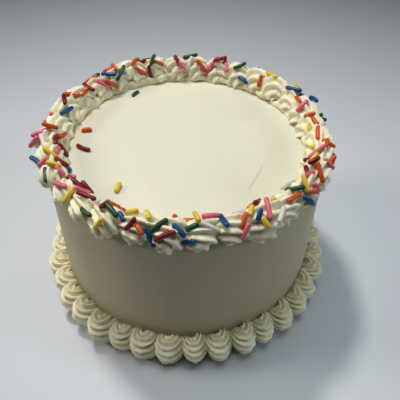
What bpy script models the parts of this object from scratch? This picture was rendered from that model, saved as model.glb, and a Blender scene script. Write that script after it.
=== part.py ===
# Round confetti cake: a smooth iced cake with a piped shell border on its rim and another
# round its foot. Sugar rods lie on the rim border and a few on the cake's top.
# Metres, +Z up, the foot of the cake on z = 0, the photographed side facing -Y.

import math

import bmesh
import bpy
import numpy as np
from mathutils import Vector
from mathutils.bvhtree import BVHTree

MM = 0.001

# Iced cake
CAKE_RADIUS = 74.5 * MM
CAKE_HEIGHT = 89.5 * MM
RIM_ROUNDING = 2.5 * MM
RIM_ROUNDING_STEPS = 2
CAKE_SIDES = 60

# Clearance between the cake and the borders, and the blocks that cut it
NODE_GAP = 0.3 * MM
CUT_SPARE = 0.15 * MM
CUTTER_SIDES = 120
CUTTER_DEPTH = 50 * MM
GROUND_WIDTH = 300 * MM

# Borders: a ring of shells that curl over along the rim, and one that curls against the wall
RIM = {
    "seed": 1, "count": 32, "radius": 68.3 * MM, "height": 92.6 * MM, "path": 3.6 * MM,
    "girth": 7.0 * MM, "width": 1.2, "stretch": 1.25, "slant": -0.28, "tail_size": 0.24,
    "full_at": 0.78, "lobes": 11, "lobe_power": 1.0, "turn_deg": 9.0,
    "turn_swing_deg": (16.0, 180.0), "large": {26: 1.25}, "lean_deg": 24.0,
    "arc_deg": (190.0, -28.0), "angle_spread_deg": 13.0, "droop": (71.0 * MM, 0.15),
    "inner_droop": (68.0 * MM, 0.85), "phase": 0.05,
}
FOOT = {
    "seed": 2, "count": 37, "radius": 74.4 * MM, "height": 12.4 * MM, "path": 5.0 * MM,
    "girth": 7.8 * MM, "width": 1.24, "stretch": 0.72, "slant": 0.3, "tail_size": 0.5,
    "full_at": 0.55, "lobes": 13, "lobe_power": 0.9, "turn_deg": 14.0,
    "turn_swing_deg": (0.0, 0.0), "large": {}, "lean_deg": 98.0, "arc_deg": (190.0, -40.0),
    "angle_spread_deg": 7.0, "droop": (1.0, 0.0), "inner_droop": (0.0, 0.0), "phase": 0.02,
}

# Bead of icing that fills the notches between the shells and the cake, and joins the shells
RIM_BEAD = {"radius": 66.0 * MM, "height": 90.8 * MM, "section": 3.2 * MM, "sides": 48,
            "section_sides": 6}
FOOT_BEAD = {"radius": 76.3 * MM, "height": 13.6 * MM, "section": 3.6 * MM, "sides": 74,
             "section_sides": 8}

# Triangles that the shells of each border are thinned out to
RIM_TRIANGLES = 3600
FOOT_TRIANGLES = 3950

# Star section shared by all shells
LOBE_DEPTH = 0.33
SWELL_POWER = 1.2
CAP_FROM = 0.8
CAP_POWER = 2.4
SMOOTH_FROM = 0.68
SMOOTH_SHARE = 0.55
EYE_RADIUS = 0.45 * MM
RINGS_ALONG = 6
RING_EASE = 0.9
TAIL_TIP = 0.12
SIDES_PER_LOBE = 2
SHELL_SEED = 41
SIZE_SPREAD = 0.08
PLACE_SPREAD = 0.06
LIFT_SPREAD = 0.4 * MM
SHIFT_SPREAD = 0.5 * MM

# The lowest part of the foot shells, below the second height, settles onto the table so that the
# first height comes to 0. It does so fully up to the first distance out, and not past the second.
SETTLE_HEIGHTS = (2.4 * MM, 7.0 * MM)
SETTLE_REACH = (78.0 * MM, 86.0 * MM)

# Sugar rods
ROD_RADIUS = 1.18 * MM
ROD_LENGTHS = (11.0 * MM, 5.8 * MM)
ROD_SINK = 0.6 * MM
ROD_OVERLAP = 0.35 * MM
ROD_LIFT = 0.25 * MM
ROD_LIFTS = 9
ROD_DOME = 0.7
ROD_SIDES = 5
ROD_TRIES = 6000
ROD_SEED = 23
ROD_SPACING = 3.9 * MM
ROD_PLACE_DEG = (86.0, 36.0)
ROD_PLACE_RANGE_DEG = (18.0, 158.0)
ROD_PROUD_SHARE = 0.12
ROD_PROUD_TILT = 0.5
ROD_TILT_LIMIT = 0.6
ROD_FLOOR = CAKE_HEIGHT + ROD_RADIUS + 0.6 * MM
ROD_FEELERS = 5
ROD_FEELER_REACH = 0.42
ROD_FEELERS_NEEDED = 3
ROD_CAST = 30 * MM
ROD_HEART_LIFT = 0.3
GAP_STEPS = 9
SUPPORT_RINGS = 12
SUPPORT_SIDES_PER_LOBE = 4
# Rods on each 20 degrees of the ring, counted from -180 degrees
RODS_PER_SECTOR = (8, 11, 8, 10, 10, 10, 5, 12, 6, 7, 6, 4, 5, 7, 8, 9, 6, 4)

# Loose rods on the cake's top: angle round the cake, distance from the axis, direction, length
TOP_RODS = ((170.0, 56.0 * MM, 10.0, 6.0 * MM), (186.5, 54.8 * MM, 150.0, 9.0 * MM),
            (228.0, 49.0 * MM, 75.0, 6.5 * MM), (124.0, 56.5 * MM, 60.0, 6.5 * MM))

SHARP_ANGLE_DEG = 60.0


def clear_objects():
    for item in list(bpy.data.objects):
        bpy.data.objects.remove(item, do_unlink=True)


def collection(name, hidden=False):
    made = bpy.data.collections.new(name)
    bpy.context.scene.collection.children.link(made)
    made.hide_render = hidden
    return made


def material(name, color, roughness):
    made = bpy.data.materials.new(name)
    made.use_nodes = True
    shader = made.node_tree.nodes["Principled BSDF"]
    shader.inputs["Base Color"].default_value = (*color, 1.0)
    shader.inputs["Roughness"].default_value = roughness
    return made


def rehome(item, home):
    # Moves an object to the given collection. Helpers, in a hidden one, are drawn as wire.
    for owner in list(item.users_collection):
        owner.objects.unlink(item)
    home.objects.link(item)
    if home.hide_render:
        item.display_type = "WIRE"
    return item


def mesh_object(name, vertices, faces, home):
    mesh = bpy.data.meshes.new(name)
    mesh.from_pydata([tuple(v) for v in vertices], [], faces)
    mesh.update()
    made = bpy.data.objects.new(name, mesh)
    return rehome(made, home)


def girth(border, along):
    # Thin tail, full body, then a blunt round head.
    swell = np.sin(np.pi / 2 * np.clip(along / border["full_at"], 0, 1)) ** SWELL_POWER
    cap = np.sqrt(1 - np.clip((along - CAP_FROM) / (1 - CAP_FROM), 0, 1) ** CAP_POWER)
    return (border["tail_size"] + (1 - border["tail_size"]) * swell) * cap


def closed_grid_faces(rings, sides):
    # Two triangles to each cell between rings and a fan at each of the two end points.
    faces = []
    for i in range(rings - 1):
        for j in range(sides):
            k = (j + 1) % sides
            faces.append((i * sides + j, i * sides + k, (i + 1) * sides + k))
            faces.append((i * sides + j, (i + 1) * sides + k, (i + 1) * sides + j))
    first = rings * sides
    last = first + 1
    for j in range(sides):
        k = (j + 1) % sides
        faces.append((first, k, j))
        faces.append((last, (rings - 1) * sides + j, (rings - 1) * sides + k))
    return faces


def shell_points(border, index, rings, sides):
    # One shell: a star section carried along an arc. Each section lies in a half-plane through
    # the arc's axis, so sections never cross. The arc's plane is turned and leaned from the ring.
    draw = np.random.default_rng((SHELL_SEED, border["seed"], index))
    wobble = draw.uniform(-1, 1, 8)
    spread = math.radians(border["angle_spread_deg"])
    size = (1 + SIZE_SPREAD * wobble[0]) * border["large"].get(index, 1.0)
    ring_angle = 2 * math.pi * (index + PLACE_SPREAD * wobble[1]) / border["count"] + border["phase"]
    swing, swing_at = (math.radians(a) for a in border["turn_swing_deg"])
    turn = math.radians(border["turn_deg"]) + swing * math.cos(ring_angle - swing_at) + spread * wobble[2]
    lean = math.radians(border["lean_deg"]) + spread * wobble[3]
    start, end = (math.radians(a) for a in border["arc_deg"])
    end += spread * wobble[4]

    out = np.array([math.cos(ring_angle), math.sin(ring_angle), 0.0])
    tangent = np.array([-out[1], out[0], 0.0])
    up = np.array([0.0, 0.0, 1.0])
    sideways = out * math.cos(turn) - tangent * math.sin(turn)
    reach = tangent * math.cos(turn) + out * math.sin(turn)
    rise = up * math.cos(lean) + sideways * math.sin(lean)
    axis = np.cross(reach, rise)
    reach = reach - up * border["slant"]
    place = out * (border["radius"] + SHIFT_SPREAD * wobble[6])
    place = place + up * (border["height"] + LIFT_SPREAD * wobble[5])

    along = np.linspace(0, 1, rings + 2)[1:-1] ** RING_EASE
    sweep = start + (end - start) * along
    swell = border["girth"] * size * girth(border, along)
    around = np.arange(sides) * 2 * math.pi / sides
    lobe = (0.5 + 0.5 * np.cos(border["lobes"] * around)) ** border["lobe_power"]
    fade = np.clip((along - SMOOTH_FROM) / (1 - SMOOTH_FROM), 0, 1)
    depth = LOBE_DEPTH * (1 - SMOOTH_SHARE * fade)
    section = 1 - depth[:, None] * (1 - lobe)
    radial = np.maximum(border["path"] * size + swell[:, None] * section * np.cos(around), EYE_RADIUS)
    side = border["width"] * swell[:, None] * section * np.sin(around)
    reach = reach * border["stretch"]
    direction = np.cos(sweep)[:, None] * reach + np.sin(sweep)[:, None] * rise
    points = place + radial[..., None] * direction[:, None, :] + side[..., None] * axis
    ends = []
    for angle in (start - TAIL_TIP * np.sign(end - start), end):
        arm = np.cos(angle) * reach + np.sin(angle) * rise
        ends.append(place + arm * border["path"] * size)
    points = np.vstack([points.reshape(-1, 3), ends])

    droop_from, droop_slope = border["droop"]
    distance = np.hypot(points[:, 0], points[:, 1])
    points[:, 2] -= droop_slope * np.maximum(distance - droop_from, 0)
    inner_from, inner_slope = border["inner_droop"]
    points[:, 2] -= inner_slope * np.maximum(inner_from - distance, 0)
    lowest, low = SETTLE_HEIGHTS
    near, far = SETTLE_REACH
    drop = np.maximum(low - points[:, 2], 0) * lowest / (low - lowest)
    points[:, 2] -= drop * np.clip((far - distance) / (far - near), 0, 1)
    return points


def shell_objects(border, rings, sides, home):
    faces = closed_grid_faces(rings, sides)
    return [mesh_object(f"shell_{i}", shell_points(border, i, rings, sides), faces, home)
            for i in range(border["count"])]


def support_tree(border):
    # All shells of a border as one search tree, fine enough to rest the rods on.
    rings = SUPPORT_RINGS
    sides = SUPPORT_SIDES_PER_LOBE * border["lobes"]
    faces = closed_grid_faces(rings, sides)
    points = []
    polygons = []
    for i in range(border["count"]):
        first = len(points)
        points.extend(tuple(v) for v in shell_points(border, i, rings, sides))
        polygons.extend(tuple(first + v for v in face) for face in faces)
    return BVHTree.FromPolygons(points, polygons)


def segment_gap(start_a, end_a, start_b, end_b):
    # Shortest distance between two straight pieces, tried at points along both.
    steps = np.linspace(0, 1, GAP_STEPS)[:, None]
    a = start_a + steps * (end_a - start_a)
    b = start_b + steps * (end_b - start_b)
    return np.sqrt(((a[:, None] - b[None]) ** 2).sum(2)).min()


def rim_rods():
    # Each rod rests on the shells: five points along it find the surface below, and the rod
    # takes the slope of its ends. A rod that meets an earlier one lies on top of it. The longest
    # come first, and each sector of the ring takes its own number.
    draw = np.random.default_rng(ROD_SEED)
    tree = support_tree(RIM)
    heart_radius = RIM["radius"] + RIM["path"] * math.sin(math.radians(RIM["lean_deg"]))
    heart_height = RIM["height"] + ROD_HEART_LIFT * RIM["path"]
    filled = [0] * len(RODS_PER_SECTOR)
    wanted = sum(RODS_PER_SECTOR)
    up = np.array([0.0, 0.0, 1.0])
    rods = []
    middles = []
    for _ in range(ROD_TRIES):
        if len(rods) == wanted:
            break
        share, yaw, proud, tilt = draw.uniform(0, 1, 4)
        bell = draw.normal()
        place = math.radians(np.clip(ROD_PLACE_DEG[0] + ROD_PLACE_DEG[1] * bell,
                                     *ROD_PLACE_RANGE_DEG))
        sector = int(share * len(filled))
        if filled[sector] == RODS_PER_SECTOR[sector]:
            continue
        length = ROD_LENGTHS[0] + (ROD_LENGTHS[1] - ROD_LENGTHS[0]) * len(rods) / wanted
        angle = math.radians(360 * share - 180)
        out = np.array([math.cos(angle), math.sin(angle), 0.0])
        tangent = np.array([-out[1], out[0], 0.0])
        away = out * math.cos(place) + up * math.sin(place)
        across = up * math.cos(place) - out * math.sin(place)
        heading = tangent * math.cos(math.pi * yaw) + across * math.sin(math.pi * yaw)
        heart = out * heart_radius + up * heart_height
        spots = []
        levels = []
        for spot in np.linspace(-ROD_FEELER_REACH, ROD_FEELER_REACH, ROD_FEELERS) * length:
            base = heart + heading * spot
            hit = tree.ray_cast(Vector(base + away * ROD_CAST), Vector(-away), ROD_CAST)
            if hit[0] is not None:
                spots.append(spot)
                levels.append(float((np.array(hit[0]) - heart) @ away))
        if len(spots) < ROD_FEELERS_NEEDED:
            continue
        spots = np.array(spots)
        levels = np.array(levels)
        slope = (levels[-1] - levels[0]) / (spots[-1] - spots[0])
        if proud < ROD_PROUD_SHARE:
            slope += ROD_PROUD_TILT * (2 * tilt - 1)
        slope = float(np.clip(slope, -ROD_TILT_LIMIT, ROD_TILT_LIMIT))
        lean = levels - slope * spots
        level = (lean.max() + np.sort(lean)[-2]) / 2
        middle = heart + away * (level + ROD_RADIUS - ROD_SINK)
        if middles and np.linalg.norm(np.array(middles) - middle, axis=1).min() < ROD_SPACING:
            continue
        line = heading + away * slope
        line = line / np.linalg.norm(line)
        half = line * (length / 2 - ROD_RADIUS)
        for _ in range(ROD_LIFTS):
            gaps = [segment_gap(middle - half, middle + half, *other) for other in rods]
            if not gaps or min(gaps) > 2 * ROD_RADIUS - ROD_OVERLAP:
                break
            middle = middle + away * ROD_LIFT
        else:
            continue
        if min((middle - half)[2], (middle + half)[2]) < ROD_FLOOR:
            continue
        filled[sector] += 1
        rods.append((middle - half, middle + half))
        middles.append(middle)
    return rods


def top_rods():
    rods = []
    for angle_deg, distance, yaw_deg, length in TOP_RODS:
        angle = math.radians(angle_deg)
        yaw = math.radians(yaw_deg)
        middle = np.array([distance * math.cos(angle), distance * math.sin(angle),
                           CAKE_HEIGHT + ROD_RADIUS - ROD_OVERLAP])
        half = np.array([math.cos(yaw), math.sin(yaw), 0.0]) * (length / 2 - ROD_RADIUS)
        rods.append((middle - half, middle + half))
    return rods


def rod_object(name, start, end, home):
    # A short bar with flat ends, as long as the round-ended rod but for part of its domes.
    mesh = bmesh.new()
    length = float(np.linalg.norm(end - start)) + 2 * ROD_RADIUS * ROD_DOME
    bmesh.ops.create_cone(mesh, cap_ends=True, segments=ROD_SIDES, radius1=ROD_RADIUS,
                          radius2=ROD_RADIUS, depth=length)
    data = bpy.data.meshes.new(name)
    mesh.to_mesh(data)
    mesh.free()
    made = bpy.data.objects.new(name, data)
    made.location = Vector((start + end) / 2)
    made.rotation_euler = Vector(end - start).to_track_quat("Z", "Y").to_euler()
    return rehome(made, home)


def bead_object(name, bead, home):
    bpy.ops.mesh.primitive_torus_add(major_radius=bead["radius"], minor_radius=bead["section"],
                                     major_segments=bead["sides"],
                                     minor_segments=bead["section_sides"],
                                     location=(0, 0, bead["height"]))
    bpy.ops.object.transform_apply(location=True, rotation=False, scale=False)
    made = bpy.context.object
    made.name = name
    return rehome(made, home)


def cake_object(name, spare, sides, home):
    # A round block with a rounded top edge, larger by the spare distance when it is a cutter.
    foot = -CUTTER_DEPTH if spare else 0.0
    height = CAKE_HEIGHT + spare
    bpy.ops.mesh.primitive_cylinder_add(vertices=sides, radius=CAKE_RADIUS + spare,
                                        depth=height - foot, location=(0, 0, (height + foot) / 2))
    bpy.ops.object.transform_apply(location=True, rotation=False, scale=False)
    made = bpy.context.object
    made.name = name
    mesh = bmesh.new()
    mesh.from_mesh(made.data)
    rim = [edge for edge in mesh.edges if all(v.co.z > height - MM for v in edge.verts)]
    bmesh.ops.bevel(mesh, geom=rim, offset=RIM_ROUNDING, segments=RIM_ROUNDING_STEPS, profile=0.5,
                    affect="EDGES")
    mesh.to_mesh(made.data)
    mesh.free()
    return rehome(made, home)


def box_object(name, middle, size, home):
    bpy.ops.mesh.primitive_cube_add(size=1.0, location=middle)
    made = bpy.context.object
    made.name = name
    made.scale = size
    bpy.ops.object.transform_apply(location=True, rotation=False, scale=True)
    return rehome(made, home)


def carve(target, kind, operand):
    # Joins or cuts with every object of a collection, then removes those objects. The solids are
    # all closed, which the manifold solver needs; it is much faster than the exact one here.
    change = target.modifiers.new("change", "BOOLEAN")
    change.operation = kind
    change.operand_type = "COLLECTION"
    change.collection = operand
    change.solver = "MANIFOLD"
    bpy.context.view_layer.update()
    depsgraph = bpy.context.evaluated_depsgraph_get()
    made = bpy.data.meshes.new_from_object(target.evaluated_get(depsgraph))
    target.modifiers.clear()
    target.data = made
    for item in list(operand.objects):
        bpy.data.objects.remove(item, do_unlink=True)
    bpy.data.collections.remove(operand)


def tidy_solid(target):
    # Fills sealed hollows and drops loose scraps: only the largest closed surface stays. The
    # result is shaded smooth but for its sharp edges.
    mesh = bmesh.new()
    mesh.from_mesh(target.data)
    bmesh.ops.triangulate(mesh, faces=mesh.faces)
    seen = set()
    pieces = []
    for seed in mesh.verts:
        if seed in seen:
            continue
        piece = []
        queue = [seed]
        seen.add(seed)
        while queue:
            vertex = queue.pop()
            piece.append(vertex)
            for edge in vertex.link_edges:
                other = edge.other_vert(vertex)
                if other not in seen:
                    seen.add(other)
                    queue.append(other)
        pieces.append(piece)
    pieces.sort(key=len)
    for piece in pieces[:-1]:
        bmesh.ops.delete(mesh, geom=piece, context="VERTS")
    wires = [edge for edge in mesh.edges if not edge.link_faces]
    bmesh.ops.delete(mesh, geom=wires, context="EDGES")
    spare = [vertex for vertex in mesh.verts if not vertex.link_faces]
    bmesh.ops.delete(mesh, geom=spare, context="VERTS")
    mesh.to_mesh(target.data)
    mesh.free()
    target.data.shade_smooth()
    target.data.set_sharp_from_angle(angle=math.radians(SHARP_ANGLE_DEG))
    return len(pieces) - 1


def thin_out(target, triangles):
    # Collapses the short edges that the joins leave, down to the number of triangles given.
    mesh = bmesh.new()
    mesh.from_mesh(target.data)
    bmesh.ops.triangulate(mesh, faces=mesh.faces)
    mesh.to_mesh(target.data)
    mesh.free()
    change = target.modifiers.new("thin_out", "DECIMATE")
    change.ratio = triangles / len(target.data.polygons)
    bpy.context.view_layer.update()
    depsgraph = bpy.context.evaluated_depsgraph_get()
    made = bpy.data.meshes.new_from_object(target.evaluated_get(depsgraph))
    target.modifiers.clear()
    target.data = made


def level_foot(target):
    # Puts back on z = 0 what thinning out has moved below it.
    for vertex in target.data.vertices:
        vertex.co.z = max(vertex.co.z, 0.0)


def border_solid(name, border, bead, triangles, rods, home, finish):
    parts = collection(f"{name}_parts", hidden=True)
    shell_objects(border, RINGS_ALONG, SIDES_PER_LOBE * border["lobes"], parts)
    solid = bead_object(name, bead, home)
    solid.data.materials.append(finish)
    carve(solid, "UNION", parts)
    cutters = collection(f"{name}_cutters", hidden=True)
    cake_object(f"{name}_clearance", NODE_GAP + CUT_SPARE, CUTTER_SIDES, cutters)
    if border is FOOT:
        box_object(f"{name}_below", (0, 0, -CUTTER_DEPTH / 2),
                   (GROUND_WIDTH, GROUND_WIDTH, CUTTER_DEPTH), cutters)
    carve(solid, "DIFFERENCE", cutters)
    thin_out(solid, triangles)
    level_foot(solid)
    if rods:
        parts = collection(f"{name}_rods", hidden=True)
        for i, (start, end) in enumerate(rods):
            rod_object(f"{name}_rod_{i}", start, end, parts)
        carve(solid, "UNION", parts)
    dropped = tidy_solid(solid)
    print(name, "triangles", len(solid.data.polygons), "dropped", dropped)
    return solid


def main():
    clear_objects()
    body = collection("confetti_cake")
    icing = material("ivory_icing", (0.83, 0.78, 0.64), 0.55)
    piped = material("piped_icing", (0.85, 0.80, 0.66), 0.5)
    foot_icing = material("foot_icing", (0.84, 0.78, 0.63), 0.5)
    cake = cake_object("iced_cake", 0.0, CAKE_SIDES, body)
    cake.data.materials.append(icing)
    loose = collection("loose_rods", hidden=True)
    for i, (start, end) in enumerate(top_rods()):
        rod_object(f"top_rod_{i}", start, end, loose)
    carve(cake, "UNION", loose)
    tidy_solid(cake)
    border_solid("rim_border", RIM, RIM_BEAD, RIM_TRIANGLES, rim_rods(), body, piped)
    border_solid("foot_border", FOOT, FOOT_BEAD, FOOT_TRIANGLES, [], body, foot_icing)


if __name__ == "__main__":
    main()
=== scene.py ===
# Iced confetti cake: smooth cream walls and top, piped shells on the rim and round the foot,
# coloured sugar rods on the rim.
import math

import bpy
import numpy as np
from mathutils import Matrix, Vector
from mathutils.bvhtree import BVHTree


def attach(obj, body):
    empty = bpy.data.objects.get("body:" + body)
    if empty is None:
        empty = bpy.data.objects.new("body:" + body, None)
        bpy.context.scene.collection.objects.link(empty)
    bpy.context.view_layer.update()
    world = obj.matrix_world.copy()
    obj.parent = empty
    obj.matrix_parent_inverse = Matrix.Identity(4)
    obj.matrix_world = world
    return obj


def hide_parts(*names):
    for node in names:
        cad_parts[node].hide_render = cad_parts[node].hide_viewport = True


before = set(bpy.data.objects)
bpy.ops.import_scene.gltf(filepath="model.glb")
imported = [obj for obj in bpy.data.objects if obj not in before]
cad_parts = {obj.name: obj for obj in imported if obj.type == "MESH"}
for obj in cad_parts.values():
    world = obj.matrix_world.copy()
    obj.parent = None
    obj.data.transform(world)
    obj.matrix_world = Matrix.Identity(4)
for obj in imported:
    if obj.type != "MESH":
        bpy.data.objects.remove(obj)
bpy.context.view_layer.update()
mm = 0.001
print("frame loaded:", sorted(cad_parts))


# Meshes

def addMesh(name, points, quads, triangles=None):
    # points (n, 3), quads (m, 4) and triangles (k, 3) of vertex numbers, put in as whole arrays
    mesh = bpy.data.meshes.new(name)
    mesh.vertices.add(len(points))
    mesh.vertices.foreach_set("co", np.asarray(points, np.float32).ravel())
    corners = [np.asarray(quads, np.int32).reshape(-1, 4)]
    if triangles is not None:
        corners.append(np.asarray(triangles, np.int32).reshape(-1, 3))
    loops = np.concatenate([c.ravel() for c in corners])
    sizes = np.concatenate([np.full(len(c), c.shape[1]) for c in corners])
    mesh.loops.add(len(loops))
    mesh.loops.foreach_set("vertex_index", loops)
    mesh.polygons.add(len(sizes))
    mesh.polygons.foreach_set("loop_start", np.concatenate([[0], np.cumsum(sizes)[:-1]]).astype(np.int32))
    mesh.update(calc_edges=True)
    mesh.validate()
    mesh.shade_smooth()
    made = bpy.data.objects.new(name, mesh)
    bpy.context.scene.collection.objects.link(made)
    return made


def closedGrid(rings, sides):
    # quads between neighbouring rings, and a fan of triangles at each of two end points
    i, j = np.meshgrid(np.arange(rings - 1), np.arange(sides), indexing="ij")
    k = (j + 1) % sides
    quads = np.stack([i * sides + j, i * sides + k, (i + 1) * sides + k, (i + 1) * sides + j], -1)
    j = np.arange(sides)
    k = (j + 1) % sides
    first = np.full(sides, rings * sides)
    near = np.stack([first, k, j], -1)
    far = np.stack([first + 1, (rings - 1) * sides + j, (rings - 1) * sides + k], -1)
    return quads.reshape(-1, 4), np.vstack([near, far])


def copies(faces, count, step):
    # the same faces for each of count shapes that have step points each
    return (faces[None] + (np.arange(count) * step)[:, None, None]).reshape(-1, faces.shape[1])


def addField(piece, name, values):
    # a number or a vector for each vertex, which the piece's material reads
    values = np.asarray(values, np.float32)
    kind, key = ("FLOAT", "value") if values.ndim == 1 else ("FLOAT_VECTOR", "vector")
    field = piece.data.attributes.new(name, kind, "POINT")
    field.data.foreach_set(key, values.ravel())


def ripple(points, seed, size, waves=14, spread=(0.7, 1.6)):
    # sum of sine waves in random directions, each size times spread long, from about -1 to 1
    draw = np.random.default_rng(seed)
    directions = draw.normal(size=(waves, 3))
    directions /= np.linalg.norm(directions, axis=1)[:, None]
    lengths = size * draw.uniform(*spread, waves)
    phases = draw.uniform(0, 2 * np.pi, waves)
    total = np.zeros(points.shape[:-1])
    for direction, length, phase in zip(directions, lengths, phases):
        total += np.sin(points @ direction * (2 * np.pi / length) + phase)
    return total / math.sqrt(waves / 2)


# Piped shells

shellShape = {
    "lobeDepth": 0.33,
    "capFrom": 0.8,
    "smoothFrom": 0.68,
    "smoothShare": 0.55,
    "swellPower": 1.2,
    "capPower": 2.4,
    "ringSpacing": 0.9,
    "tailBack": 0.12,
    "eyeRadius": 0.45 * mm,
    "seed": 41,
    "sizeSpread": 0.08,
    "placeSpread": 0.06,
    "liftSpread": 0.4 * mm,
    "shiftSpread": 0.5 * mm,
    "ruffleSize": 3.4 * mm,
    "ruffleSeed": 50,
    "flowScale": (20.0, 6.0, 7.3),
}

rimBorder = {
    "seed": 1,
    "count": 32,
    "radius": 68.3 * mm,
    "height": 92.6 * mm,
    "path": 3.6 * mm,
    "girth": 7.0 * mm,
    "width": 1.2,
    "stretch": 1.25,
    "tailSize": 0.24,
    "fullAt": 0.78,
    "lobes": 11,
    "lobePower": 1.0,
    "turn": math.radians(9.0),
    "turnSwing": (math.radians(16.0), math.radians(180.0)),
    "slant": -0.28,
    "large": {26: 1.25},
    "lean": math.radians(24.0),
    "arc": (math.radians(190.0), math.radians(-28.0)),
    "angleSpread": math.radians(13.0),
    "droop": (71.0 * mm, 0.15),
    "innerDroop": (68.0 * mm, 0.85),
    "ruffle": 0.28 * mm,
    "phase": 0.05,
    "rings": 24,
    "sidesPerLobe": 8,
}

footBorder = {
    "seed": 2,
    "count": 37,
    "radius": 74.4 * mm,
    "height": 12.4 * mm,
    "path": 5.0 * mm,
    "girth": 7.8 * mm,
    "width": 1.24,
    "stretch": 0.72,
    "tailSize": 0.5,
    "fullAt": 0.55,
    "lobes": 13,
    "lobePower": 0.9,
    "turn": math.radians(14.0),
    "turnSwing": (0.0, 0.0),
    "slant": 0.3,
    "large": {},
    "lean": math.radians(98.0),
    "arc": (math.radians(190.0), math.radians(-40.0)),
    "angleSpread": math.radians(7.0),
    "droop": (1.0, 0.0),
    "innerDroop": (0.0, 0.0),
    "ruffle": 0.2 * mm,
    "phase": 0.02,
    "rings": 22,
    "sidesPerLobe": 8,
}

cake = {
    "radius": 74.5 * mm,
    "height": 89.5 * mm,
    "rounding": 2.5 * mm,
    "around": 288,
    "topRings": 74,
    "wallRings": 60,
    "roundRings": 8,
    "underRings": 7,
    "underMiddle": 0.04,
    "topMiddle": 0.012,
    "topSpacing": 0.9,
    "topUneven": 0.22 * mm,
    "wallUneven": 0.2 * mm,
    "topWaves": {"seed": 8, "size": 26 * mm, "squash": (1, 0.5, 1)},
    "wallWaves": {"seed": 7, "size": 30 * mm, "squash": (1, 1, 0.35)},
    "topFrom": 0.2 * mm,
    "calmEdge": 6 * mm,
    "pressed": 0.35 * mm,
    "settleHeights": (2.4 * mm, 7.0 * mm),
    "settleReach": (78.0 * mm, 86.0 * mm),
}


def shellGirth(border, along):
    # Thin tail, full body, then a blunt round head: the tail's size plus the rest times a power of
    # a quarter sine up to fullAt, all times a cap of sqrt(1 - t^capPower) from capFrom to the end.
    capFrom = shellShape["capFrom"]
    swell = np.sin(np.pi / 2 * np.clip(along / border["fullAt"], 0, 1)) ** shellShape["swellPower"]
    cap = np.sqrt(1 - np.clip((along - capFrom) / (1 - capFrom), 0, 1) ** shellShape["capPower"])
    return (border["tailSize"] + (1 - border["tailSize"]) * swell) * cap


def oneShell(border, index, rings, sides):
    # A star section is carried along an arc. Each section lies in a half-plane through the arc's
    # axis: its distance from the axis is the path radius plus girth * star * cos, its offset along
    # the axis is width * girth * star * sin. The arc's plane is turned and leaned from the ring,
    # and slant shears it upright. Points beyond the two droop distances go down by a slope.
    shape = shellShape
    wobble = np.random.default_rng((shape["seed"], border["seed"], index)).uniform(-1, 1, 8)
    size = (1 + shape["sizeSpread"] * wobble[0]) * border["large"].get(index, 1.0)
    ringAngle = 2 * math.pi * (index + shape["placeSpread"] * wobble[1]) / border["count"] + border["phase"]
    swing, swingAt = border["turnSwing"]
    turn = border["turn"] + swing * math.cos(ringAngle - swingAt) + border["angleSpread"] * wobble[2]
    lean = border["lean"] + border["angleSpread"] * wobble[3]
    start, end = border["arc"]
    end += border["angleSpread"] * wobble[4]
    out = np.array([math.cos(ringAngle), math.sin(ringAngle), 0.0])
    tangent = np.array([-out[1], out[0], 0.0])
    up = np.array([0.0, 0.0, 1.0])
    sideways = out * math.cos(turn) - tangent * math.sin(turn)
    reach = tangent * math.cos(turn) + out * math.sin(turn)
    rise = up * math.cos(lean) + sideways * math.sin(lean)
    axis = np.cross(reach, rise)
    reach = reach - up * border["slant"]
    place = out * (border["radius"] + shape["shiftSpread"] * wobble[6])
    place = place + up * (border["height"] + shape["liftSpread"] * wobble[5])
    along = np.linspace(0, 1, rings + 2)[1:-1] ** shape["ringSpacing"]
    sweep = start + (end - start) * along
    swell = border["girth"] * size * shellGirth(border, along)
    around = np.arange(sides) * 2 * math.pi / sides
    lobe = (0.5 + 0.5 * np.cos(border["lobes"] * around)) ** border["lobePower"]
    fade = np.clip((along - shape["smoothFrom"]) / (1 - shape["smoothFrom"]), 0, 1)
    depth = shape["lobeDepth"] * (1 - shape["smoothShare"] * fade)
    star = 1 - depth[:, None] * (1 - lobe)
    radial = np.maximum(border["path"] * size + swell[:, None] * star * np.cos(around), shape["eyeRadius"])
    side = border["width"] * swell[:, None] * star * np.sin(around)
    reach = reach * border["stretch"]
    direction = np.cos(sweep)[:, None] * reach + np.sin(sweep)[:, None] * rise
    points = place + radial[..., None] * direction[:, None, :] + side[..., None] * axis
    ends = [place + (np.cos(a) * reach + np.sin(a) * rise) * border["path"] * size
            for a in (start - shape["tailBack"] * np.sign(end - start), end)]
    points = np.vstack([points.reshape(-1, 3), ends])
    distance = np.hypot(points[:, 0], points[:, 1])
    points[:, 2] -= border["droop"][1] * np.maximum(distance - border["droop"][0], 0)
    points[:, 2] -= border["innerDroop"][1] * np.maximum(border["innerDroop"][0] - distance, 0)
    folded = np.abs((around + math.pi) % (2 * math.pi) - math.pi)
    lengthwise, crosswise, apart = shape["flowScale"]
    flow = np.stack(np.broadcast_arrays(along[:, None] * lengthwise, folded * crosswise, index * apart), -1)
    flowEnds = np.array([[0, 0, index * apart], [lengthwise, 0, index * apart]])
    ridge = np.append(np.broadcast_to(lobe, (rings, sides)).ravel(), [0.5, 0.5])
    return points, ridge, np.vstack([flow.reshape(-1, 3), flowEnds])


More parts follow.
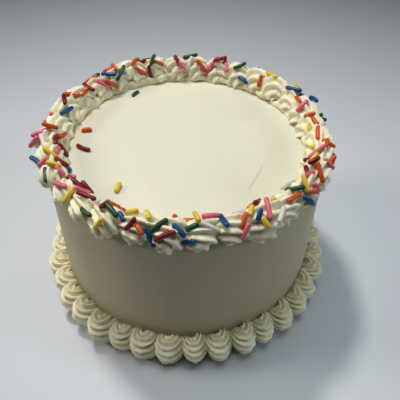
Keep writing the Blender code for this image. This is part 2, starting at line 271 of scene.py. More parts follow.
def restOnCake(points):
    # Points inside the cake move out to just under its nearest face. Points near the floor settle
    # on it by a slope that fades between the two reaches, and none go below it.
    out = np.hypot(points[:, 0], points[:, 1])
    wall = cake["radius"] - cake["pressed"]
    top = cake["height"] - cake["pressed"]
    inWall = wall - out
    inTop = top - points[:, 2]
    inside = (inWall > 0) & (inTop > 0)
    toTop = inside & (inTop < inWall)
    toWall = inside & ~toTop
    moved = points.copy()
    moved[toTop, 2] = top
    moved[toWall, :2] *= (wall / out[toWall])[:, None]
    lowest, low = cake["settleHeights"]
    near, far = cake["settleReach"]
    drop = np.maximum(low - moved[:, 2], 0) * lowest / (low - lowest)
    moved[:, 2] -= drop * np.clip((far - out) / (far - near), 0, 1)
    moved[:, 2] = np.maximum(moved[:, 2], 0.0)
    return moved


def pipedBorder(name, border):
    # all shells of a border as one mesh, ruffled a little along their normals
    rings = border["rings"]
    sides = border["lobes"] * border["sidesPerLobe"]
    shells = [oneShell(border, i, rings, sides) for i in range(border["count"])]
    points = np.stack([s[0] for s in shells])
    step = points.shape[1]
    quads, ends = closedGrid(rings, sides)
    middles = points.mean(1, keepdims=True)
    outward = points - middles
    outward /= np.linalg.norm(outward, axis=2, keepdims=True)
    amount = ripple(points, border["seed"] + shellShape["ruffleSeed"], shellShape["ruffleSize"])
    points = points + outward * (border["ruffle"] * amount)[..., None]
    points = restOnCake(points.reshape(-1, 3))
    made = addMesh(name, points, copies(quads, border["count"], step), copies(ends, border["count"], step))
    addField(made, "ridge", np.concatenate([s[1] for s in shells]))
    addField(made, "flow", np.concatenate([s[2] for s in shells]))
    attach(made, "root")
    return made


beads = {
    "rimBead": {"radius": 66.0 * mm, "height": 90.6 * mm, "section": 3.0 * mm, "around": 640, "sides": 20,
                "ruffle": 0.65 * mm, "ruffleSize": 7.5 * mm, "seed": 60},
    "footBead": {"radius": 76.3 * mm, "height": 13.6 * mm, "section": 3.6 * mm, "around": 720, "sides": 20,
                 "ruffle": 0.35 * mm, "ruffleSize": 4.0 * mm, "seed": 61},
}


def beadRing(name):
    # icing pressed into the notches between the shells and the cake: a ring of round section,
    # its radius moved in and out by slow waves
    b = beads[name]
    around = np.arange(b["around"]) * 2 * math.pi / b["around"]
    turn = np.arange(b["sides"]) * 2 * math.pi / b["sides"]
    out = b["radius"] + b["section"] * np.cos(turn)
    points = np.stack(np.broadcast_arrays(np.cos(around)[:, None] * out, np.sin(around)[:, None] * out,
                                          b["height"] + b["section"] * np.sin(turn)), -1)
    middles = np.stack([b["radius"] * np.cos(around), b["radius"] * np.sin(around),
                        np.full(b["around"], b["height"])], -1)
    outward = (points - middles[:, None]) / b["section"]
    points = points + outward * (b["ruffle"] * ripple(points, b["seed"], b["ruffleSize"]))[..., None]
    i, j = np.meshgrid(np.arange(b["around"]), np.arange(b["sides"]), indexing="ij")
    k, n = (i + 1) % b["around"], (j + 1) % b["sides"]
    quads = np.stack([i * b["sides"] + j, k * b["sides"] + j, k * b["sides"] + n, i * b["sides"] + n], -1)
    made = addMesh(name, restOnCake(points.reshape(-1, 3)), quads.reshape(-1, 4))
    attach(made, "root")
    return made


# Cake

def cakeSkin():
    # Profile from the foot's middle up the wall, over the rounded edge and in to the top's middle,
    # turned round the axis. Slow waves move it in and out, and fade at the foot and the edge.
    c = cake
    r, h, b = c["radius"], c["height"], c["rounding"]
    under = np.linspace(c["underMiddle"], 1, c["underRings"] + 1)[:-1]
    rise = np.linspace(0, 1, c["wallRings"])
    bend = np.linspace(0, math.pi / 2, c["roundRings"] + 2)[1:-1]
    inward = np.linspace(1, c["topMiddle"], c["topRings"]) ** c["topSpacing"]
    outs = np.concatenate([r * under, np.full(len(rise), r), r - b + b * np.cos(bend), (r - b) * inward])
    ups = np.concatenate([0 * under, (h - b) * rise, h - b + b * np.sin(bend), np.full(len(inward), h)])
    angle = np.arange(c["around"]) * 2 * math.pi / c["around"]
    grid = np.stack(np.broadcast_arrays(outs[:, None] * np.cos(angle), outs[:, None] * np.sin(angle),
                                        ups[:, None]), -1)
    flat = grid.reshape(-1, 3)
    onTop = np.clip((flat[:, 2] - h + c["topFrom"]) / c["topFrom"], 0, 1)
    onWall = np.clip(flat[:, 2] / c["calmEdge"], 0, 1) * (1 - onTop)
    edge = np.clip((r - b - np.hypot(flat[:, 0], flat[:, 1])) / c["calmEdge"], 0, 1)
    wallWaves, topWaves = [ripple(flat * np.array(w["squash"]), w["seed"], w["size"])
                           for w in (c["wallWaves"], c["topWaves"])]
    outward = flat * np.array([1, 1, 0]) / np.maximum(np.hypot(flat[:, 0], flat[:, 1]), 1e-6)[:, None]
    flat = flat + outward * (c["wallUneven"] * wallWaves * onWall)[:, None]
    flat[:, 2] += c["topUneven"] * topWaves * onTop * edge
    points = np.vstack([flat, [[0, 0, 0], [0, 0, h]]])
    quads, ends = closedGrid(len(outs), c["around"])
    made = addMesh("icedCakeSkin", points, quads, ends)
    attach(made, "root")
    return made


# Sugar rods

rodShape = {
    "radius": 1.18 * mm,
    "lengths": (11.0 * mm, 5.8 * mm),
    "sink": 0.6 * mm,
    "overlap": 0.35 * mm,
    "lift": 0.25 * mm,
    "lifts": 9,
    "perSector": (8, 11, 8, 10, 10, 10, 5, 12, 6, 7, 6, 4, 5, 7, 8, 9, 6, 4),
    "tries": 6000,
    "feelers": (-0.42, 0.42, 5),
    "fewestHits": 3,
    "cast": 30 * mm,
    "heartLift": 0.3,
    "seed": 23,
    "colourSeed": 5490,
    "bendSeed": 300,
    "spacing": 3.9 * mm,
    "place": (86.0, 36.0),
    "placeRange": (18.0, 158.0),
    "proudShare": 0.12,
    "proudTilt": 0.5,
    "tiltLimit": 0.6,
    "floor": 89.5 * mm + 1.18 * mm + 0.6 * mm,
    "onTop": ((170.0, 56.0 * mm, 10.0, 6.0 * mm), (186.5, 54.8 * mm, 150.0, 9.0 * mm),
              (228.0, 49.0 * mm, 75.0, 6.5 * mm), (124.0, 56.5 * mm, 60.0, 6.5 * mm)),
    "onTopColours": ("orange", "darkRed", "yellow", "green"),
    "sides": 10,
    "dome": (-0.93, -0.62, -0.05),
    "bend": 0.35 * mm,
    "thicknessSpread": 0.06,
}

rodColours = {
    "orange": {"share": 32, "colour": (0.66, 0.110, 0.012)},
    "pink": {"share": 23, "colour": (0.83, 0.18, 0.27)},
    "darkRed": {"share": 22, "colour": (0.24, 0.008, 0.014)},
    "blue": {"share": 18, "colour": (0.003, 0.085, 0.26)},
    "yellow": {"share": 17, "colour": (0.84, 0.62, 0.07)},
    "green": {"share": 14, "colour": (0.012, 0.090, 0.035)},
    "white": {"share": 10, "colour": (0.80, 0.76, 0.74)},
}


def supportTree(border):
    # all shells of a border as one search tree that the rods rest on
    rings, sides = 12, 4 * border["lobes"]
    shells = np.vstack([oneShell(border, i, rings, sides)[0] for i in range(border["count"])])
    quads, ends = closedGrid(rings, sides)
    step = rings * sides + 2
    quads = copies(quads, border["count"], step)
    faces = np.vstack([quads[:, [0, 1, 2]], quads[:, [0, 2, 3]], copies(ends, border["count"], step)])
    return BVHTree.FromPolygons(shells.tolist(), faces.tolist())


def segmentGap(startA, endA, startB, endB):
    # shortest distance between two straight pieces, tried at points along both
    steps = np.linspace(0, 1, 9)[:, None]
    a = startA + steps * (endA - startA)
    b = startB + steps * (endB - startB)
    return np.sqrt(((a[:, None] - b[None]) ** 2).sum(2)).min()


def rimRods():
    # Each rod rests on the shells: five points along it find the surface below, and the rod takes
    # the slope of its ends. A rod that meets an earlier one lies on top of it. The longest come
    # first, and each sector of the ring, counted from -180 degrees, takes its own number.
    shape = rodShape
    border = rimBorder
    draw = np.random.default_rng(shape["seed"])
    tree = supportTree(border)
    heartRadius = border["radius"] + border["path"] * math.sin(border["lean"])
    heartHeight = border["height"] + shape["heartLift"] * border["path"]
    filled = [0] * len(shape["perSector"])
    wanted = sum(shape["perSector"])
    cast = shape["cast"]
    longest, shortest = shape["lengths"]
    up = np.array([0.0, 0.0, 1.0])
    rods, middles = [], []
    for _ in range(shape["tries"]):
        if len(rods) == wanted:
            break
        angle, yaw, proud, tilt = draw.uniform(0, 1, 4)
        bell = draw.normal()
        place = math.radians(np.clip(shape["place"][0] + shape["place"][1] * bell, *shape["placeRange"]))
        sector = int(angle * len(filled))
        if filled[sector] == shape["perSector"][sector]:
            continue
        length = longest + (shortest - longest) * len(rods) / wanted
        angle = math.radians(360 * angle - 180)
        out = np.array([math.cos(angle), math.sin(angle), 0.0])
        tangent = np.array([-out[1], out[0], 0.0])
        away = out * math.cos(place) + up * math.sin(place)
        across = up * math.cos(place) - out * math.sin(place)
        heading = tangent * math.cos(math.pi * yaw) + across * math.sin(math.pi * yaw)
        heart = out * heartRadius + up * heartHeight
        spots, levels = [], []
        for spot in np.linspace(*shape["feelers"]) * length:
            base = heart + heading * spot
            hit = tree.ray_cast(Vector(base + away * cast), Vector(-away), cast)
            if hit[0] is not None:
                spots.append(spot)
                levels.append(float((np.array(hit[0]) - heart) @ away))
        if len(spots) < shape["fewestHits"]:
            continue
        spots, levels = np.array(spots), np.array(levels)
        slope = (levels[-1] - levels[0]) / (spots[-1] - spots[0])
        if proud < shape["proudShare"]:
            slope += shape["proudTilt"] * (2 * tilt - 1)
        slope = float(np.clip(slope, -shape["tiltLimit"], shape["tiltLimit"]))
        lean = levels - slope * spots
        middle = heart + away * (0.5 * (lean.max() + np.sort(lean)[-2]) + shape["radius"] - shape["sink"])
        if middles and np.linalg.norm(np.array(middles) - middle, axis=1).min() < shape["spacing"]:
            continue
        line = heading + away * slope
        half = line / np.linalg.norm(line) * (length / 2 - shape["radius"])
        for _ in range(shape["lifts"]):
            gaps = [segmentGap(middle - half, middle + half, *other) for other in rods]
            if not gaps or min(gaps) > 2 * shape["radius"] - shape["overlap"]:
                break
            middle = middle + away * shape["lift"]
        else:
            continue
        if min((middle - half)[2], (middle + half)[2]) < shape["floor"]:
            continue
        filled[sector] += 1
        rods.append((middle - half, middle + half))
        middles.append(middle)
    return rods


def topRods():
    # the loose rods on the cake's top, each at an angle and a distance, turned by its yaw
    rods = []
    for angle, distance, yaw, length in rodShape["onTop"]:
        angle, yaw = math.radians(angle), math.radians(yaw)
        middle = np.array([distance * math.cos(angle), distance * math.sin(angle),
                           cake["height"] + rodShape["radius"] - rodShape["overlap"]])
        half = np.array([math.cos(yaw), math.sin(yaw), 0.0]) * (length / 2 - rodShape["radius"])
        rods.append((middle - half, middle + half))
    return rods


def rodMesh(name, rods, seed):
    # Each rod is a round bar with domed ends: radius * sqrt(1 - t^2) at the ends, full between,
    # bent a little by a parabola across its length.
    shape = rodShape
    draw = np.random.default_rng(seed)
    sides = shape["sides"]
    dome = np.array(shape["dome"])
    stations = np.concatenate([dome, [0.0], -dome[::-1]])
    onEnd = np.array([1, 1, 1, 0, 1, 1, 1])
    around = np.arange(sides) * 2 * math.pi / sides
    quads, ends = closedGrid(len(stations), sides)
    allPoints = []
    for start, end in rods:
        line = end - start
        length = np.linalg.norm(line)
        line = line / length
        side = np.cross(line, [0.31, 0.52, 0.79])
        side /= np.linalg.norm(side)
        other = np.cross(line, side)
        thick = shape["radius"] * (1 + shape["thicknessSpread"] * draw.uniform(-1, 1))
        middle = (start + end) / 2
        sway = draw.uniform(0, 2 * math.pi)
        swayed = side * math.cos(sway) + other * math.sin(sway)
        bend = shape["bend"] * draw.uniform(0, 1) ** 2
        where = stations * thick + np.sign(stations) * length / 2
        wide = thick * np.sqrt(1 - (stations * onEnd) ** 2)
        curve = bend * (1 - 2 * (where / (length / 2 + thick)) ** 2)
        centre = middle + where[:, None] * line
        centre = centre + curve[:, None] * swayed
        ring = np.cos(around)[:, None] * side + np.sin(around)[:, None] * other
        points = centre[:, None] + wide[:, None, None] * ring[None]
        tips = [middle + line * end * (length / 2 + thick) - bend * swayed for end in (-1, 1)]
        allPoints.append(np.vstack([points.reshape(-1, 3), tips]))
    step = len(stations) * sides + 2
    points = np.vstack(allPoints)
    made = addMesh(name, points, copies(quads, len(rods), step), copies(ends, len(rods), step))
    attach(made, "root")
    return made


# Materials

def nodeGroup(name, inputs, outputs):
    group = bpy.data.node_groups.new(name, "ShaderNodeTree")
    for label, kind, value in inputs:
        made = group.interface.new_socket(label, in_out="INPUT", socket_type=kind)
        if value is not None:
            made.default_value = value
    for label, kind in outputs:
        group.interface.new_socket(label, in_out="OUTPUT", socket_type=kind)
    return group, group.nodes.new("NodeGroupInput"), group.nodes.new("NodeGroupOutput")


def node(tree, kind, **settings):
    made = tree.nodes.new(kind)
    for key, value in settings.items():
        if key in made.inputs:
            made.inputs[key].default_value = value
        else:
            setattr(made, key, value)
    return made


def mixColour(tree, factor, first, second):
    mix = tree.nodes.new("ShaderNodeMix")
    mix.data_type = "RGBA"
    for socket, value in ((mix.inputs[0], factor), (mix.inputs[6], first), (mix.inputs[7], second)):
        if isinstance(value, bpy.types.NodeSocket):
            tree.links.new(value, socket)
        else:
            socket.default_value = value
    return mix.outputs[2]


def arithmetic(tree, operation, first, second=0.0, third=0.0):
    made = tree.nodes.new("ShaderNodeMath")
    made.operation = operation
    for socket, value in zip(made.inputs, (first, second, third)):
        if isinstance(value, bpy.types.NodeSocket):
            tree.links.new(value, socket)
        else:
            socket.default_value = value
    return made.outputs[0]


creamGrain = {
    "grainScale": 1500.0,
    "grainHeight": 0.5,
    "blotchScale": 60.0,
    "pitScale": 260.0,
    "pitSize": 0.09,
    "pitReach": 10.0,
    "pitSteep": 6.0,
    "fewScale": 95.0,
    "fewFrom": 0.45,
}


def creamGrainGroup():
    # Fine whipped grain, soft blotches and tiny air pits, from Object coordinates in metres. A pit
    # is as deep as its size less the distance from its middle, and a slow noise leaves most out.
    g = creamGrain
    group, given, result = nodeGroup(
        "creamGrain",
        [("Place", "NodeSocketVector", None), ("Grain Scale", "NodeSocketFloat", g["grainScale"]),
         ("Pit Scale", "NodeSocketFloat", g["pitScale"]), ("Pit Size", "NodeSocketFloat", g["pitSize"])],
        [("Height", "NodeSocketFloat"), ("Blotch", "NodeSocketFloat")])
    grain = node(group, "ShaderNodeTexNoise", Detail=3.0, Roughness=0.6)
    blotch = node(group, "ShaderNodeTexNoise", Scale=g["blotchScale"], Detail=4.0, Roughness=0.55)
    pits = node(group, "ShaderNodeTexVoronoi")
    group.links.new(given.outputs["Place"], grain.inputs["Vector"])
    group.links.new(given.outputs["Grain Scale"], grain.inputs["Scale"])
    group.links.new(given.outputs["Place"], blotch.inputs["Vector"])
    group.links.new(given.outputs["Place"], pits.inputs["Vector"])
    group.links.new(given.outputs["Pit Scale"], pits.inputs["Scale"])
    few = node(group, "ShaderNodeTexNoise", Scale=g["fewScale"], Detail=1.0)
    group.links.new(given.outputs["Place"], few.inputs["Vector"])
    size = arithmetic(group, "MULTIPLY", given.outputs["Pit Size"],
                      arithmetic(group, "SUBTRACT", few.outputs[0], g["fewFrom"]))
    reach = arithmetic(group, "MULTIPLY", size, g["pitReach"])
    depth = arithmetic(group, "SUBTRACT", reach, pits.outputs["Distance"])
    pit = arithmetic(group, "MULTIPLY", arithmetic(group, "MAXIMUM", depth, 0.0), g["pitSteep"])
    pit = arithmetic(group, "MINIMUM", pit, 1.0)
    rise = arithmetic(group, "MULTIPLY", grain.outputs[0], g["grainHeight"])
    height = arithmetic(group, "SUBTRACT", rise, pit)
    group.links.new(height, result.inputs["Height"])
    group.links.new(blotch.outputs[0], result.inputs["Blotch"])
    return group


# fine marks of the smooth icing: start, end and width in mm, then how dark each is
hairlines = {
    "waver": 0.9 * mm,
    "waverScale": 220.0,
    "marks": (
        ((44.8, -6.8, 89.5), (41.0, -16.0, 89.5), 0.6, 0.75),
        ((41.0, -16.0, 89.5), (36.2, -26.0, 89.5), 0.65, 0.8),
        ((36.2, -26.0, 89.5), (31.4, -35.7, 89.5), 0.5, 0.6),
        ((7.8, 6.9, 89.5), (14.0, -30.0, 89.5), 0.8, 0.18),
        ((-23.1, -4.9, 89.5), (-22.8, -4.9, 89.5), 0.45, 0.4),
        ((-22.4, -14.1, 89.5), (-21.0, -14.3, 89.5), 0.55, 0.75),
        ((-32.9, -2.5, 89.5), (-32.6, -2.5, 89.5), 0.4, 0.35),
        ((-14.4, -20.6, 89.5), (-13.8, -21.2, 89.5), 0.4, 0.3),
        ((38.8, -63.6, 84.0), (40.5, -62.5, 72.0), 0.7, 0.6),
        ((40.5, -62.5, 72.0), (44.3, -59.9, 52.0), 0.6, 0.5),
        ((44.3, -59.9, 52.0), (48.6, -56.4, 31.0), 0.6, 0.5),
    ),
    "markColour": (0.42, 0.38, 0.27, 1.0),
    "markDepth": 1.6,
    # soft warm marks beside the rim: each of the first two is a stain where rods have bled, the third is
    # painted warm shade
    "stainsAndShade": (
        ((-54.2, 25.6, 89.5), (-56.2, 22.2, 89.5), 4.2, 0.7),
        ((-58.4, 13.0, 89.5), (-59.6, 0.0, 89.5), 3.6, 0.65),
        # painted warm shade, not a stain
        ((-51.0, 40.0, 89.5), (-47.0, 46.0, 89.5), 3.4, 0.45),
    ),
    "stainAndShadeColour": (0.76, 0.62, 0.36, 1.0),
}


def hairlineGroup():
    # Mask of a fine straight mark from Start to End: 1 - distance / Width, none beyond the width.
    # The distance is from the nearest point of the mark, at clamp(along . mark / mark . mark, 0, 1).
    group, given, result = nodeGroup(
        "hairline",
        [("Place", "NodeSocketVector", None), ("Start", "NodeSocketVector", (0, 0, 0)),
         ("End", "NodeSocketVector", (1, 0, 0)), ("Width", "NodeSocketFloat", 1.0)],
        [("Mask", "NodeSocketFloat")])

    def vectorNode(operation, first, second=None):
        made = group.nodes.new("ShaderNodeVectorMath")
        made.operation = operation
        group.links.new(first, made.inputs[0])
        if second is not None:
            group.links.new(second, made.inputs[1])
        return made

    waver = node(group, "ShaderNodeTexNoise", Scale=hairlines["waverScale"], Detail=2.0)
    group.links.new(given.outputs["Place"], waver.inputs["Vector"])
    sway = vectorNode("SCALE", waver.outputs["Color"])
    sway.inputs["Scale"].default_value = hairlines["waver"]
    moved = vectorNode("ADD", given.outputs["Place"], sway.outputs[0])
    mark = vectorNode("SUBTRACT", given.outputs["End"], given.outputs["Start"]).outputs[0]
    along = vectorNode("SUBTRACT", moved.outputs[0], given.outputs["Start"]).outputs[0]
    share = arithmetic(group, "DIVIDE", vectorNode("DOT_PRODUCT", along, mark).outputs["Value"],
                       vectorNode("DOT_PRODUCT", mark, mark).outputs["Value"])
    share = arithmetic(group, "MINIMUM", arithmetic(group, "MAXIMUM", share, 0.0), 1.0)
    nearest = vectorNode("SCALE", mark)
    group.links.new(share, nearest.inputs["Scale"])
    gap = vectorNode("DISTANCE", along, nearest.outputs[0]).outputs["Value"]
    mask = arithmetic(group, "SUBTRACT", 1.0, arithmetic(group, "DIVIDE", gap, given.outputs["Width"]))
    group.links.new(arithmetic(group, "MAXIMUM", mask, 0.0), result.inputs["Mask"])
    return group


creamFinish = {
    "smooth": (0.750, 0.740, 0.625, 1.0),
    "smoothWarm": (0.730, 0.715, 0.590, 1.0),
    # painted shade: the wall and rounded edge below the top are painted darker and browner than the top,
    # though it is the same cream, as shade on the upright faces
    "wall": (0.545, 0.487, 0.322, 1.0),
    "wallShadeFrom": 87.4 * mm,
    "wallShadeTo": 88.8 * mm,
    # painted light and shade: the piped icing is painted lighter than the smooth icing of the same cream,
    # and its valleys darker and warmer as shade between the ridges
    "litCrest": (0.915, 0.874, 0.700, 1.0),
    "shadedValley": (0.865, 0.802, 0.570, 1.0),
    "dragScale": (0.16, 2.6, 1.0),
    "dragDepth": 2.2,
    "streakScale": (260.0, 260.0, 14.0),
    "streakDepth": 0.9,
    "bump": 0.12 * mm,
    "bumpStrength": 0.6,
    "roughness": 0.4,
    "roughSpread": 0.2,
    "scatter": 0.2,
    "pipedScatter": 0.35,
    "scatterColours": (1.0, 0.75, 0.4),
    "scatterDepth": 1.8 * mm,
}


def marksMask(tree, place, lineGroup, marks):
    # the strongest of several hairline masks, each times how dark its mark is
    strongest = None
    for start, end, width, dark in marks:
        line = tree.nodes.new("ShaderNodeGroup")
        line.node_tree = lineGroup
        tree.links.new(place.outputs["Object"], line.inputs["Place"])
        line.inputs["Start"].default_value = tuple(c * mm for c in start)
        line.inputs["End"].default_value = tuple(c * mm for c in end)
        line.inputs["Width"].default_value = width * mm
        mask = arithmetic(tree, "MULTIPLY", line.outputs["Mask"], dark)
        strongest = mask if strongest is None else arithmetic(tree, "MAXIMUM", strongest, mask)
    return strongest


def creamMaterial(name, grainGroup, lineGroup=None):
    # Icing with a fine grain. Without lineGroup it is piped: painted lighter than the smooth icing, with
    # valleys painted in a warm darker shade, lighter ridges and fine drag lines along each shell. With it,
    # it is smooth: upright streaks, fine marks, a stain mask that also holds one patch of painted warm
    # shade, and its wall painted darker as shade.
    finish = creamFinish
    made = bpy.data.materials.new(name)
    made.use_nodes = True
    tree = made.node_tree
    shader = tree.nodes["Principled BSDF"]
    place = tree.nodes.new("ShaderNodeTexCoord")
    grain = tree.nodes.new("ShaderNodeGroup")
    grain.node_tree = grainGroup
    tree.links.new(place.outputs["Object"], grain.inputs["Place"])
    stretch = tree.nodes.new("ShaderNodeMapping")
    if lineGroup is None:
        ridge = node(tree, "ShaderNodeAttribute", attribute_name="ridge")
        flow = node(tree, "ShaderNodeAttribute", attribute_name="flow")
        stretch.inputs["Scale"].default_value = finish["dragScale"]
        drag = node(tree, "ShaderNodeTexNoise", Scale=1.0, Detail=3.0, Roughness=0.6)
        tree.links.new(flow.outputs["Vector"], stretch.inputs["Vector"])
        tree.links.new(stretch.outputs["Vector"], drag.inputs["Vector"])
        # painted shade in the valleys, painted light on the ridges
        colour = mixColour(tree, ridge.outputs["Fac"], finish["shadedValley"], finish["litCrest"])
        height = arithmetic(tree, "MULTIPLY_ADD", drag.outputs[0], finish["dragDepth"],
                            grain.outputs["Height"])
    else:
        colour = mixColour(tree, grain.outputs["Blotch"], finish["smoothWarm"], finish["smooth"])
        # painted shade: below the height range the icing takes the darker wall colour instead of the top's
        parts = tree.nodes.new("ShaderNodeSeparateXYZ")
        tree.links.new(place.outputs["Object"], parts.inputs[0])
        onTop = tree.nodes.new("ShaderNodeMapRange")
        tree.links.new(parts.outputs["Z"], onTop.inputs["Value"])
        onTop.inputs["From Min"].default_value = finish["wallShadeFrom"]
        onTop.inputs["From Max"].default_value = finish["wallShadeTo"]
        colour = mixColour(tree, onTop.outputs["Result"], finish["wall"], colour)
        stretch.inputs["Scale"].default_value = finish["streakScale"]
        smear = node(tree, "ShaderNodeTexNoise", Scale=1.0, Detail=3.0, Roughness=0.55)
        tree.links.new(place.outputs["Object"], stretch.inputs["Vector"])
        tree.links.new(stretch.outputs["Vector"], smear.inputs["Vector"])
        height = arithmetic(tree, "MULTIPLY_ADD", smear.outputs[0], finish["streakDepth"],
                            grain.outputs["Height"])
        # warm marks beside the rim: two stains from the rods and one patch of painted warm shade
        stainedAndShaded = marksMask(tree, place, lineGroup, hairlines["stainsAndShade"])
        marked = marksMask(tree, place, lineGroup, hairlines["marks"])
        colour = mixColour(tree, stainedAndShaded, colour, hairlines["stainAndShadeColour"])
        colour = mixColour(tree, marked, colour, hairlines["markColour"])
        cut = arithmetic(tree, "MULTIPLY", marked, hairlines["markDepth"])
        height = arithmetic(tree, "SUBTRACT", height, cut)
    tree.links.new(colour, shader.inputs["Base Color"])
    bump = node(tree, "ShaderNodeBump", Strength=finish["bumpStrength"], Distance=finish["bump"])
    tree.links.new(height, bump.inputs["Height"])
    tree.links.new(bump.outputs["Normal"], shader.inputs["Normal"])
    rough = arithmetic(tree, "MULTIPLY_ADD", grain.outputs["Blotch"], finish["roughSpread"],
                       finish["roughness"])
    tree.links.new(rough, shader.inputs["Roughness"])
    weight = finish["pipedScatter"] if lineGroup is None else finish["scatter"]
    shader.inputs["Subsurface Weight"].default_value = weight
    shader.inputs["Subsurface Radius"].default_value = finish["scatterColours"]
    shader.inputs["Subsurface Scale"].default_value = finish["scatterDepth"]
    return made


rodFinish = {
    "patchScale": 260.0,
    "dimpleScale": 900.0,
    "dimpleDepth": 0.06 * mm,
    "dimpleStrength": 0.5,
    "pale": (1.1, 0.012),
    "deep": 0.8,
    "roughness": 0.22,
    "roughSpread": 0.25,
    "scatter": 0.08,
    "scatterDepth": 0.5 * mm,
}


def rodMaterial(name, colour):
    # sugar in one colour, from its deep to its pale tone in soft patches, with fine dimples
    finish = rodFinish
    made = bpy.data.materials.new(name)
    made.use_nodes = True
    tree = made.node_tree
    shader = tree.nodes["Principled BSDF"]
    place = tree.nodes.new("ShaderNodeTexCoord")
    patches = node(tree, "ShaderNodeTexNoise", Scale=finish["patchScale"], Detail=3.0)
    dimples = node(tree, "ShaderNodeTexNoise", Scale=finish["dimpleScale"], Detail=2.0)
    tree.links.new(place.outputs["Object"], patches.inputs["Vector"])
    tree.links.new(place.outputs["Object"], dimples.inputs["Vector"])
    gain, lift = finish["pale"]
    pale = tuple(c * gain + lift for c in colour)
    deep = tuple(c * finish["deep"] for c in colour)
    shown = mixColour(tree, patches.outputs[0], (*deep, 1.0), (*pale, 1.0))
    tree.links.new(shown, shader.inputs["Base Color"])
    bump = node(tree, "ShaderNodeBump", Strength=finish["dimpleStrength"], Distance=finish["dimpleDepth"])
    tree.links.new(dimples.outputs[0], bump.inputs["Height"])
    tree.links.new(bump.outputs["Normal"], shader.inputs["Normal"])
    rough = arithmetic(tree, "MULTIPLY_ADD", patches.outputs[0], finish["roughSpread"], finish["roughness"])
    tree.links.new(rough, shader.inputs["Roughness"])
    shader.inputs["Subsurface Weight"].default_value = finish["scatter"]
    shader.inputs["Subsurface Scale"].default_value = finish["scatterDepth"]
    return made


# Pieces

grainGroup = creamGrainGroup()
lineGroup = hairlineGroup()
skin = cakeSkin()
skin.data.materials.append(creamMaterial("smoothIcing", grainGroup, lineGroup))
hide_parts("iced_cake")
print("cake skin made")

rimPiece = pipedBorder("rimShells", rimBorder)
rimPiece.data.materials.append(creamMaterial("rimIcing", grainGroup))
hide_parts("rim_border")
footPiece = pipedBorder("footShells", footBorder)
footPiece.data.materials.append(creamMaterial("footIcing", grainGroup))
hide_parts("foot_border")
for name, shells, replaced, slot in (("rimBead", rimPiece, "rim_border", "rim_icing"),
                                     ("footBead", footPiece, "foot_border", "foot_icing")):
    bead = beadRing(name)
    bead.data.materials.append(shells.data.materials[0])
    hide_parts(replaced)
print("piped shells made")

rods = rimRods()
names = list(rodColours)
shares = np.array([rodColours[n]["share"] for n in names], float)
# the shares are rounded up, so that no rod is left without a colour
order = np.repeat(names, np.round(shares / shares.sum() * len(rods) + 0.5).astype(int))
np.random.default_rng(rodShape["colourSeed"]).shuffle(order)
byColour = {n: [] for n in names}
for rod, colour in zip(rods, order):
    byColour[colour].append(rod)
for rod, colour in zip(topRods(), rodShape["onTopColours"]):
    byColour[colour].append(rod)
for number, name in enumerate(names):
    made = rodMesh("sugarRods" + name[0].upper() + name[1:], byColour[name], rodShape["bendSeed"] + number)
    made.data.materials.append(rodMaterial(name + "Sugar", rodColours[name]["colour"]))
    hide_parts("rim_border")
print("sugar rods made:", {n: len(v) for n, v in byColour.items()})


# Floor, light and camera

studio = {
    "floorSize": 4.0,
    "floorColour": (0.66, 0.685, 0.73, 1.0),
    "floorRoughness": 0.7,
    "worldColour": (0.86, 0.92, 1.0, 1.0),
    "worldStrength": 0.005,
    "lightsAim": (0.0, 0.0, 0.05),
    "gamma": 0.88,
}

lights = {
    "keyLight": {"place": (-0.26, 0.34, 1.17), "size": 0.16, "power": 0.71, "spread": math.radians(60.0),
                 "colour": (1.0, 0.97, 0.91)},
    "skyLight": {"place": (0.0, 0.0, 1.3), "size": 0.9, "power": 1.14, "spread": math.radians(70.0),
                 "colour": (0.95, 0.98, 1.0)},
    "leftLight": {"place": (-0.9, 0.05, 0.66), "size": 0.4, "power": 0.34, "spread": math.radians(50.0),
                  "colour": (1.0, 0.97, 0.88)},
    "rightLight": {"place": (0.9, -0.11, 0.45), "size": 0.4, "power": 0.21, "spread": math.radians(50.0),
                   "colour": (0.80, 0.94, 1.0)},
}

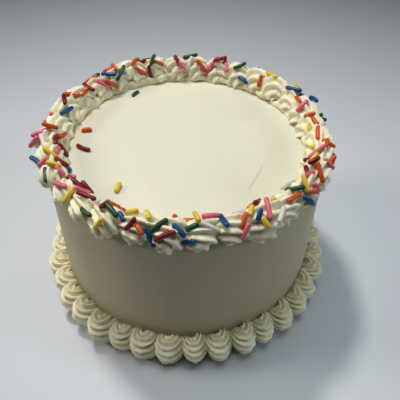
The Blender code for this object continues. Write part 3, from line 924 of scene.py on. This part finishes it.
bpy.ops.mesh.primitive_plane_add(size=studio["floorSize"])
floor = bpy.context.object
floor.name = "studioFloor"
floorMaterial = bpy.data.materials.new("paleFloor")
floorMaterial.use_nodes = True
floorShader = floorMaterial.node_tree.nodes["Principled BSDF"]
floorShader.inputs["Base Color"].default_value = studio["floorColour"]
floorShader.inputs["Roughness"].default_value = studio["floorRoughness"]
floor.data.materials.append(floorMaterial)

world = bpy.data.worlds.new("studioWorld")
world.use_nodes = True
world.node_tree.nodes["Background"].inputs[0].default_value = studio["worldColour"]
world.node_tree.nodes["Background"].inputs[1].default_value = studio["worldStrength"]
bpy.context.scene.world = world

for name, l in lights.items():
    data = bpy.data.lights.new(name, "AREA")
    data.shape = "DISK"
    data.size = l["size"]
    data.energy = l["power"]
    data.color = l["colour"]
    data.spread = l["spread"]
    light = bpy.data.objects.new(name, data)
    light.location = l["place"]
    aim = Vector(studio["lightsAim"]) - Vector(l["place"])
    light.rotation_euler = aim.to_track_quat("-Z", "Y").to_euler()
    bpy.context.scene.collection.objects.link(light)

viewpoint = {
    "place": (3.58 * mm, -209.23 * mm, 250.57 * mm),
    "pitch": math.radians(44.31),
    "roll": math.radians(1.09),
    "yaw": math.radians(-1.16),
    "lens": 43.76,
    "sensor": 36.0,
    "clipStart": 0.01,
}

v = viewpoint
cameraData = bpy.data.cameras.new("photoCamera")
camera = bpy.data.objects.new("photoCamera", cameraData)
bpy.context.scene.collection.objects.link(camera)
spin = Matrix.Rotation(v["yaw"], 3, "Z")
right = Vector((1, 0, 0))
upward = Vector((0, math.sin(v["pitch"]), math.cos(v["pitch"])))
forward = Vector((0, math.cos(v["pitch"]), -math.sin(v["pitch"])))
axisX = spin @ (right * math.cos(v["roll"]) + upward * math.sin(v["roll"]))
axisY = spin @ (upward * math.cos(v["roll"]) - right * math.sin(v["roll"]))
axisZ = -(spin @ forward)
camera.matrix_world = Matrix(((axisX.x, axisY.x, axisZ.x, v["place"][0]),
                              (axisX.y, axisY.y, axisZ.y, v["place"][1]),
                              (axisX.z, axisY.z, axisZ.z, v["place"][2]), (0, 0, 0, 1)))
cameraData.sensor_width = v["sensor"]
cameraData.lens = v["lens"]
cameraData.clip_start = v["clipStart"]
bpy.context.scene.camera = camera
bpy.context.scene.view_settings.view_transform = "Standard"
bpy.context.scene.view_settings.gamma = studio["gamma"]
print("floor, light and camera made")
